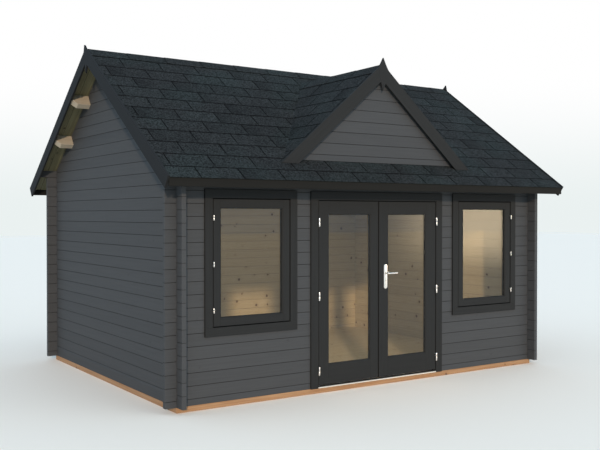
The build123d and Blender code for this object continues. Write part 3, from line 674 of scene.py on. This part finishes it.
def makeLeaf(name, frameNode, glassNode, body):  # a sash or a door leaf with its beads
    low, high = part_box(frameNode)
    slack = Vector((joinery["shrink"], 0, joinery["shrink"]))
    paneNear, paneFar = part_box(glassNode)[0].y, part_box(glassNode)[1].y
    centre, wide, bottom, top = glassOpening(glassNode)
    bead, inset = joinery["bead"], joinery["beadSet"]
    opening = (centre, wide + 2 * bead, bottom - bead, top + bead)
    uprights, levels, beads = bmesh.new(), bmesh.new(), bmesh.new()
    addMembers(uprights, levels, opening, widthsTo(opening, low + slack, high - slack), low.y, high.y)
    for face, pane, inward in ((low.y, paneNear, 1), (high.y, paneFar, -1)):
        slant = ((bead, face + inward * inset), (inset, face + inward * bead), (0, face + inward * (bead + inset)))
        mitredRing(beads, (centre, wide, bottom, top), slant + ((0, pane), (bead, pane)))
    finishMembers(name, uprights, levels, body, (frameNode,))
    finishPiece(name + "_beads", beads, wood["upright"], body, "trim_stain")


def makeSurround(node, clear, stopped, holeLow, holeHigh, stopFace):  # trims on both faces, linings and stops
    low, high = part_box(node)
    uprights, levels = bmesh.new(), bmesh.new()
    addMembers(uprights, levels, clear, widthsTo(clear, low, high), low.y, frontFace, levelsRun=True)
    addMembers(uprights, levels, clear, widthsTo(clear, holeLow, holeHigh), frontFace, stopFace)
    addMembers(uprights, levels, stopped, widthsTo(stopped, holeLow, holeHigh), stopFace, innerFace)
    addMembers(uprights, levels, stopped, widthsTo(stopped, low, high), innerFace, high.y, levelsRun=True)
    finishMembers(node, uprights, levels, "house", (node,))


gap, stop, lining = joinery["gap"], joinery["stop"], joinery["lining"]
for hand in ("left", "right"):
    low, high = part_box("window_sash_" + hand)
    frameLow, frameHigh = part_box("window_frame_" + hand)
    centre = (frameLow.x + frameHigh.x) / 2
    clear = (centre, high.x - low.x + 2 * gap, low.z - gap, high.z + gap)
    stopped = (centre, high.x - low.x - 2 * stop, low.z + stop, high.z - stop)
    around = Vector((lining, 0, lining))
    makeSurround("window_frame_" + hand, clear, stopped, low - around, high + around, high.y)
    makeLeaf("sash_" + hand, "window_sash_" + hand, "window_glass_" + hand, "house")

doorway = {"half": 0.760, "top": 1.860, "stopGap": 0.005}
half, top = doorway["half"], doorway["top"]
stopFace = leafBack + doorway["stopGap"]
holeLow, holeHigh = Vector((-half - lining, 0, beamTop)), Vector((half + lining, 0, top + lining))
clear, stopped = (0, 2 * half, beamTop, top), (0, 2 * (half - stop), beamTop, top - stop)
makeSurround("door_frame", clear, stopped, holeLow, holeHigh, stopFace)
for hand in ("left", "right"):
    makeLeaf("leaf_" + hand, "door_leaf_" + hand, "door_glass_" + hand, hand + "_door")

# a seal strip on the left leaf closes the joint where the leaves meet
meeting = {"wide": 0.0065, "depth": 0.015, "setBack": 0.013, "bite": 0.001, "short": 0.004, "ease": 0.0012}
low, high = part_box("door_leaf_left")
start = (high.x - joinery["shrink"] - meeting["bite"], low.y + meeting["setBack"], low.z + meeting["short"])
end = (high.x + meeting["wide"], start[1] + meeting["depth"], high.z - meeting["short"])
bm = bmesh.new()
addBox(bm, start, end)
easeEdges(bm, meeting["ease"])
finishPiece("meeting_seal", bm, rubber, "left_door", "trim_stain")
print("windows and door ready")


# Glass: clear, with a weak mirror that grows toward the edge of sight
glassLook = {"clear": (0.96, 0.965, 0.955, 1), "rough": 0.015, "mirror": 0.032, "rise": 0.9}


def makeGlass():
    material = bpy.data.materials.new("clear_glass")
    material.use_nodes = True
    tree = material.node_tree
    tree.nodes.remove(tree.nodes["Principled BSDF"])
    clear = addNode(tree, "BsdfTransparent", {"Color": glassLook["clear"]})
    mirror = addNode(tree, "BsdfGlossy", {"Color": (1, 1, 1, 1), "Roughness": glassLook["rough"]})
    facing = addNode(tree, "LayerWeight", {"Blend": 0.5}).outputs["Facing"]
    share = calc(tree, "MULTIPLY_ADD", calc(tree, "POWER", facing, 5.0), glassLook["rise"], glassLook["mirror"])
    mixed = addNode(tree, "MixShader", {0: share, 1: clear.outputs[0], 2: mirror.outputs[0]})
    tree.links.new(mixed.outputs[0], tree.nodes["Material Output"].inputs["Surface"])
    return material


glass = makeGlass()
for node in ("window_glass_left", "window_glass_right", "door_glass_left", "door_glass_right"):
    giveMaterial(node, glass)


# Metal fittings
def metalMaterial(name, colour, rough, brush):
    material, tree, shader = startMaterial(name)
    place = addNode(tree, "TexCoord").outputs["Object"]
    place = addNode(tree, "Mapping", {"Vector": place, "Scale": brush}).outputs[0]
    scratch = addNode(tree, "TexNoise", {"Vector": place, "Scale": 25.0, "Detail": 3.0}).outputs[0]
    shader.inputs["Base Color"].default_value = colour
    shader.inputs["Metallic"].default_value = 1.0
    tree.links.new(spread(tree, scratch, 0.3, 0.7, rough - 0.03, rough + 0.03), shader.inputs["Roughness"])
    bump = addNode(tree, "Bump", {"Height": scratch, "Strength": 0.03, "Distance": 0.0001})
    tree.links.new(bump.outputs[0], shader.inputs["Normal"])
    return material


satin = metalMaterial("satin_fittings", (0.90, 0.86, 0.80, 1), 0.27, (1, 1, 8))
sillMetal = metalMaterial("mill_finish_sill", (0.92, 0.87, 0.78, 1), 0.45, (0.3, 6, 6))
# black for the keyhole: painted shade standing in for a hole
paintedKeyholeShade = metalMaterial("keyhole_shade", (0.03, 0.03, 0.03, 1), 0.5, (1, 1, 1))

hinge = {
    "pinX": 0.757, "pinY": -1.682, "radius": 0.008, "high": 0.082, "gap": 0.0016, "heights": (0.217, 0.935, 1.647),
    "armRadius": 0.0034, "armSpread": 0.011, "armIn": 0.010, "armReach": 0.012, "round": 0.22,
    "sashX": 0.404, "sashRadius": 0.006, "sashHigh": 0.046, "sashReach": 0.008, "sashHeights": (0.870, 1.280, 1.692),
}


def addHalfHinge(bm, x, height, radius, high, up, reach):  # half a lift-off hinge, its arms let into the wood
    foot, head = sorted((height + up * hinge["gap"] / 2, height + up * high / 2))
    barrel = addRod(bm, (x, hinge["pinY"], foot), (x, hinge["pinY"], head), radius)
    ends = set(barrel)
    rims = [e for e in bm.edges if ends.issuperset(e.verts) and e.calc_face_angle(0) > math.radians(60)]
    soft = radius * hinge["round"]
    bmesh.ops.bevel(bm, geom=rims, offset=soft, segments=2, profile=0.5, affect="EDGES", material=-1)
    middle = (foot + head) / 2
    spreadZ = hinge["armSpread"] * high / hinge["high"]
    for z in (middle - spreadZ, middle + spreadZ):
        addRod(bm, (x, hinge["pinY"], z), (x + reach, leafFace + hinge["armIn"], z), hinge["armRadius"], sides=10)


jambHalves = bmesh.new()
for side, hand in ((-1, "left"), (1, "right")):
    leafHalves = bmesh.new()
    pin, reach = side * hinge["pinX"], side * hinge["armReach"]
    for height in hinge["heights"]:
        addHalfHinge(jambHalves, pin, height, hinge["radius"], hinge["high"], -1, reach)
        addHalfHinge(leafHalves, pin, height, hinge["radius"], hinge["high"], 1, -reach)
    finishPiece("leaf_hinges_" + hand, leafHalves, satin, hand + "_door", "fittings", ("door_hinges_" + hand,))
    sashHalves = bmesh.new()
    low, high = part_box("window_sash_" + hand)
    pin, reach = (low.x + high.x) / 2 + side * hinge["sashX"], -side * hinge["sashReach"]
    for height in hinge["sashHeights"]:
        for up in (-1, 1):
            addHalfHinge(sashHalves, pin, height, hinge["sashRadius"], hinge["sashHigh"], up, up * reach)
    finishPiece("sash_hinges_" + hand, sashHalves, satin, "house", "fittings", ("window_hinges_" + hand,))
finishPiece("jamb_hinges", jambHalves, satin, "house", "fittings", ("frame_hinges",))

handle = {
    "x": 0.068, "height": 1.128, "plateWide": 0.043, "plateLow": 0.971, "plateHigh": 1.220, "plateThick": 0.008,
    "plateEase": 0.003, "stand": 0.048, "reach": 0.122, "neck": 0.0085, "elbow": 0.014, "tipEase": 0.004,
    "rose": 0.0135, "roseTaper": 0.86, "roseLong": 0.006, "clear": 0.0005,
    "keyDrop": 0.072, "keyRadius": 0.0085, "keyHalf": 0.005, "keyLong": 0.022, "keyProud": 0.0025,
    "slotHalf": 0.0011, "slotLong": 0.0045, "slotProud": 0.0029,
    "screwIn": 0.016, "screw": 0.0042, "screwHead": 0.003, "screwProud": 0.0012, "sunk": 0.001,
}


def addPlate(bm, face, outward):  # a long backplate with round ends
    radius = handle["plateWide"] / 2
    middle = (handle["plateLow"] + handle["plateHigh"]) / 2
    stretch = (handle["plateHigh"] - handle["plateLow"]) / 2 - radius
    flat = Matrix.Rotation(math.radians(90), 4, "X") @ Matrix.Rotation(math.radians(5), 4, "Z")
    rim = bmesh.ops.create_circle(bm, cap_ends=True, segments=36, radius=radius, matrix=flat)["verts"]
    for v in rim:
        v.co.z += math.copysign(stretch, v.co.z)
    bmesh.ops.translate(bm, vec=(handle["x"], face, middle), verts=rim)
    plate = next(f for f in bm.faces if set(f.verts) == set(rim))
    front = bmesh.ops.extrude_face_region(bm, geom=[plate], use_keep_orig=True)["geom"]
    raised = only(bmesh.types.BMVert, front)
    bmesh.ops.translate(bm, vec=(0, outward * handle["plateThick"], 0), verts=raised)
    lip = [e for f in only(bmesh.types.BMFace, front) for e in f.edges]
    ease = handle["plateEase"]
    bmesh.ops.bevel(bm, geom=lip, offset=ease, segments=3, profile=0.5, affect="EDGES", material=-1)


def addLever(bm, face, outward):  # a round bar that turns through an elbow
    neckEnd = handle["stand"] - handle["elbow"]
    foot = Vector((handle["x"], face + outward * (handle["plateThick"] + handle["clear"]), handle["height"]))
    flat = Matrix.Translation(foot) @ Matrix.Rotation(math.radians(90), 4, "X")
    radius = handle["neck"]
    ring = bmesh.ops.create_circle(bm, cap_ends=True, segments=20, radius=radius, matrix=flat)["verts"]
    disc = next(f for f in bm.faces if set(f.verts) == set(ring))
    neck = bmesh.ops.extrude_face_region(bm, geom=[disc], use_keep_orig=True)["geom"]
    out = (0, outward * (neckEnd - handle["plateThick"]), 0)
    bmesh.ops.translate(bm, vec=out, verts=only(bmesh.types.BMVert, neck))
    centre = (handle["x"] + handle["elbow"], face + outward * (neckEnd + handle["clear"]), handle["height"])
    turned = bmesh.ops.spin(
        bm, geom=only(bmesh.types.BMFace, neck)[:1], cent=centre, axis=(0, 0, 1), dvec=(0, 0, 0),
        angle=-outward * math.radians(90), steps=7, use_merge=False,
    )["geom_last"]
    bar = bmesh.ops.extrude_face_region(bm, geom=only(bmesh.types.BMFace, turned)[:1])["geom"]
    along = (handle["reach"] - handle["elbow"], 0, 0)
    bmesh.ops.translate(bm, vec=along, verts=only(bmesh.types.BMVert, bar))
    inner = [f for f in bm.faces if all(len(e.link_faces) > 2 for e in f.edges)]  # discs left inside the bar
    bmesh.ops.delete(bm, geom=inner, context="FACES_ONLY")
    rim = [e for f in only(bmesh.types.BMFace, bar) for e in f.edges]
    ease = handle["tipEase"]
    bmesh.ops.bevel(bm, geom=rim, offset=ease, segments=4, profile=0.5, affect="EDGES", material=-1)


plates, lever, keyways = bmesh.new(), bmesh.new(), bmesh.new()
for face, outward in ((leafFace, -1), (leafBack, 1)):
    addPlate(plates, face, outward)
    x, leverZ = handle["x"], handle["height"]
    keyZ = leverZ - handle["keyDrop"]
    front = face + outward * handle["plateThick"]
    proud = front + outward * handle["keyProud"]
    back = front - outward * handle["sunk"]
    addRod(plates, (x, back - outward * handle["sunk"], keyZ), (x, proud, keyZ), handle["keyRadius"], 24)
    addBox(plates, (x - handle["keyHalf"], front, keyZ - handle["keyLong"]), (x + handle["keyHalf"], proud, keyZ))
    # the keyhole is a black slot set proud of the cylinder, painted shade in place of a hole
    slot = Vector((handle["slotHalf"], 0, handle["slotLong"]))
    slotFront = front + outward * handle["slotProud"]
    addBox(keyways, Vector((x, front, keyZ)) - slot, Vector((x, slotFront, keyZ)) + slot)
    screwFront = front + outward * handle["screwProud"]
    for z in (handle["plateLow"] + handle["screwIn"], handle["plateHigh"] - handle["screwIn"]):
        addRod(plates, (x, back, z), (x, screwFront, z), handle["screw"], 16, handle["screwHead"])
    addLever(lever, face, outward)
    start, end = front + outward * handle["clear"], front + outward * handle["roseLong"]
    addRod(lever, (x, start, leverZ), (x, end, leverZ), handle["rose"], 28, handle["rose"] * handle["roseTaper"])
for bm in (plates, lever):
    bmesh.ops.recalc_face_normals(bm, faces=bm.faces)
finishPiece("handle_backplates", plates, satin, "right_door", "fittings", ("handle_plates",))
finishPiece("handle_keyways", keyways, paintedKeyholeShade, "right_door", "fittings")
finishPiece("handle_lever", lever, satin, "lever", "fittings", ("door_lever",))

# Threshold: a low metal lip in front of the leaves, a ribbed strip behind them and a seal
sill = {
    "lip": 0.011, "nose": 0.012, "ribs": 3, "rib": 0.002, "ribEvery": 0.008, "ribHigh": 0.0006, "bite": 0.0005,
    "sealWide": 0.016, "ease": 0.0009, "sealEase": 0.0015,
}
low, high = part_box("threshold")
metal, seal = bmesh.new(), bmesh.new()
backHalf = doorway["half"] - joinery["stop"]
lipTop = low.z + sill["lip"]
addBox(metal, low, (high.x, stopFace, lipTop))
addBox(metal, (-backHalf, stopFace, low.z), (backHalf, high.y, high.z))
for n in range(sill["ribs"]):
    near = stopFace + sill["ribEvery"] * (n + 0.5)
    ribTop = high.z + sill["ribHigh"]
    addBox(metal, (-backHalf, near, high.z - sill["bite"]), (backHalf, near + sill["rib"], ribTop))
near = low.y + sill["nose"]
addBox(seal, (low.x, near, lipTop), (high.x, near + sill["sealWide"], high.z))
easeEdges(metal, sill["ease"])
easeEdges(seal, sill["sealEase"])
finishPiece("threshold_strip", metal, sillMetal, "house", "threshold_metal", ("threshold",))
finishPiece("threshold_seal", seal, rubber, "house", "threshold_metal")
print("glass and fittings ready")

# Studio: a pale floor under a soft bright sky, with a low warm lamp from the front left
studio = {
    "lens": 50.42, "sensor": 36, "place": (-5.384, -8.261, 1.716), "down": 0.676, "aside": 33.79,
    "sky": (0.56, 0.78, 1.0, 1), "skyLight": 1.0, "horizon": (0.825, 0.88, 0.875, 1), "sweep": 0.16,
    "floor": (0.97, 0.865, 0.745, 1), "floorRough": 0.9, "floorSize": 60, "floorDrop": 0.0005,
    "lamp": {"name": "low_lamp", "power": 2.46, "colour": (1.0, 0.77, 0.58), "aside": 30.5, "up": 16.1, "wide": 3},
    "fill": {"name": "soft_fill", "power": 0.48, "colour": (0.94, 1.0, 1.0), "aside": -25, "up": 28, "wide": 60},
    "room": {"name": "room_glow", "power": 19.0, "colour": (1.0, 0.90, 0.78), "size": (3.6, 2.4), "place": (0, 0, 2.1)},
    "panel": {
        "name": "mirror_panel", "power": 600.0, "colour": (1.0, 0.77, 0.48), "size": (9.0, 4.0),
        "place": (12.2, -10.65, 2.0), "turn": 50,
    },
}
floorMesh = bmesh.new()
bmesh.ops.create_grid(floorMesh, x_segments=1, y_segments=1, size=studio["floorSize"])
mesh = bpy.data.meshes.new("studio_floor")
floorMesh.to_mesh(mesh)
floorMesh.free()
material, tree, shader = startMaterial("studio_floor")
shader.inputs["Base Color"].default_value = studio["floor"]
shader.inputs["Roughness"].default_value = studio["floorRough"]
mesh.materials.append(material)
floor = bpy.data.objects.new("studio_floor", mesh)
floor.location.z = -studio["floorDrop"]
bpy.context.collection.objects.link(floor)
floor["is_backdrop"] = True

world = bpy.data.worlds.new("soft_sky")
bpy.context.scene.world = world
world.use_nodes = True
tree = world.node_tree
lighting = tree.nodes["Background"]
lighting.inputs["Color"].default_value = studio["sky"]
lighting.inputs["Strength"].default_value = studio["skyLight"]
rise = addNode(tree, "SeparateXYZ", {0: addNode(tree, "TexCoord").outputs["Generated"]}).outputs[axisZ]
sweep = spread(tree, rise, 0.0, studio["sweep"])
sweep = blendColour(tree, sweep, studio["horizon"], (1, 1, 1, 1))  # the floor runs up into white
backdrop = addNode(tree, "Background", {"Color": sweep, "Strength": 1.0})
seen = addNode(tree, "LightPath").outputs["Is Camera Ray"]
mixed = addNode(tree, "MixShader", {0: seen, 1: lighting.outputs[0], 2: backdrop.outputs[0]})
tree.links.new(mixed.outputs[0], tree.nodes["World Output"].inputs["Surface"])


def hangLight(kind, settings, turn=(0, 0, 0)):
    light = bpy.data.lights.new(settings["name"], kind)
    light.energy = settings["power"]
    light.color = settings["colour"]
    if kind == "AREA":
        light.shape = "RECTANGLE"
        light.size, light.size_y = settings["size"]
    else:
        light.angle = math.radians(settings["wide"])
    hung = bpy.data.objects.new(settings["name"], light)
    hung.location = settings.get("place", (0, 0, 0))
    hung.rotation_euler = [math.radians(angle) for angle in turn]
    bpy.context.collection.objects.link(hung)
    return hung


for settings in (studio["lamp"], studio["fill"]):
    sun = hangLight("SUN", settings, (90 - settings["up"], 0, -settings["aside"]))
    sun.visible_glossy = settings is studio["lamp"]
hangLight("AREA", studio["room"])

# a bright panel to the right that only mirrors see, so that the right-hand panes catch the evening sky
panel = hangLight("AREA", studio["panel"], (90, 0, studio["panel"]["turn"]))
panel.visible_diffuse = panel.visible_camera = panel.visible_transmission = False
panel.data.use_nodes = True
tree = panel.data.node_tree
across, upward = addNode(tree, "SeparateXYZ", {0: addNode(tree, "NewGeometry").outputs["Parametric"]}).outputs[:2]
fade = calc(tree, "MULTIPLY", spread(tree, across, 0.08, 0.36), spread(tree, upward, 0.0, 0.32))
tree.links.new(fade, tree.nodes["Emission"].inputs["Strength"])

camera = bpy.data.objects.new("photo_view", bpy.data.cameras.new("photo_view"))
camera.data.lens = studio["lens"]
camera.data.sensor_width = studio["sensor"]
camera.location = studio["place"]
camera.rotation_euler = (math.radians(90 - studio["down"]), 0, -math.radians(studio["aside"]))
bpy.context.collection.objects.link(camera)
bpy.context.scene.camera = camera
bpy.context.scene.view_settings.view_transform = "Standard"
bpy.context.scene.cycles.use_denoising = True

seenLow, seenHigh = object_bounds()
sizesRead = [[round(v, 3) for v in high - low] for low, high in ((cadLow, cadHigh), (seenLow, seenHigh))]
print("studio ready, CAD box", sizesRead[0], "visual box", sizesRead[1])
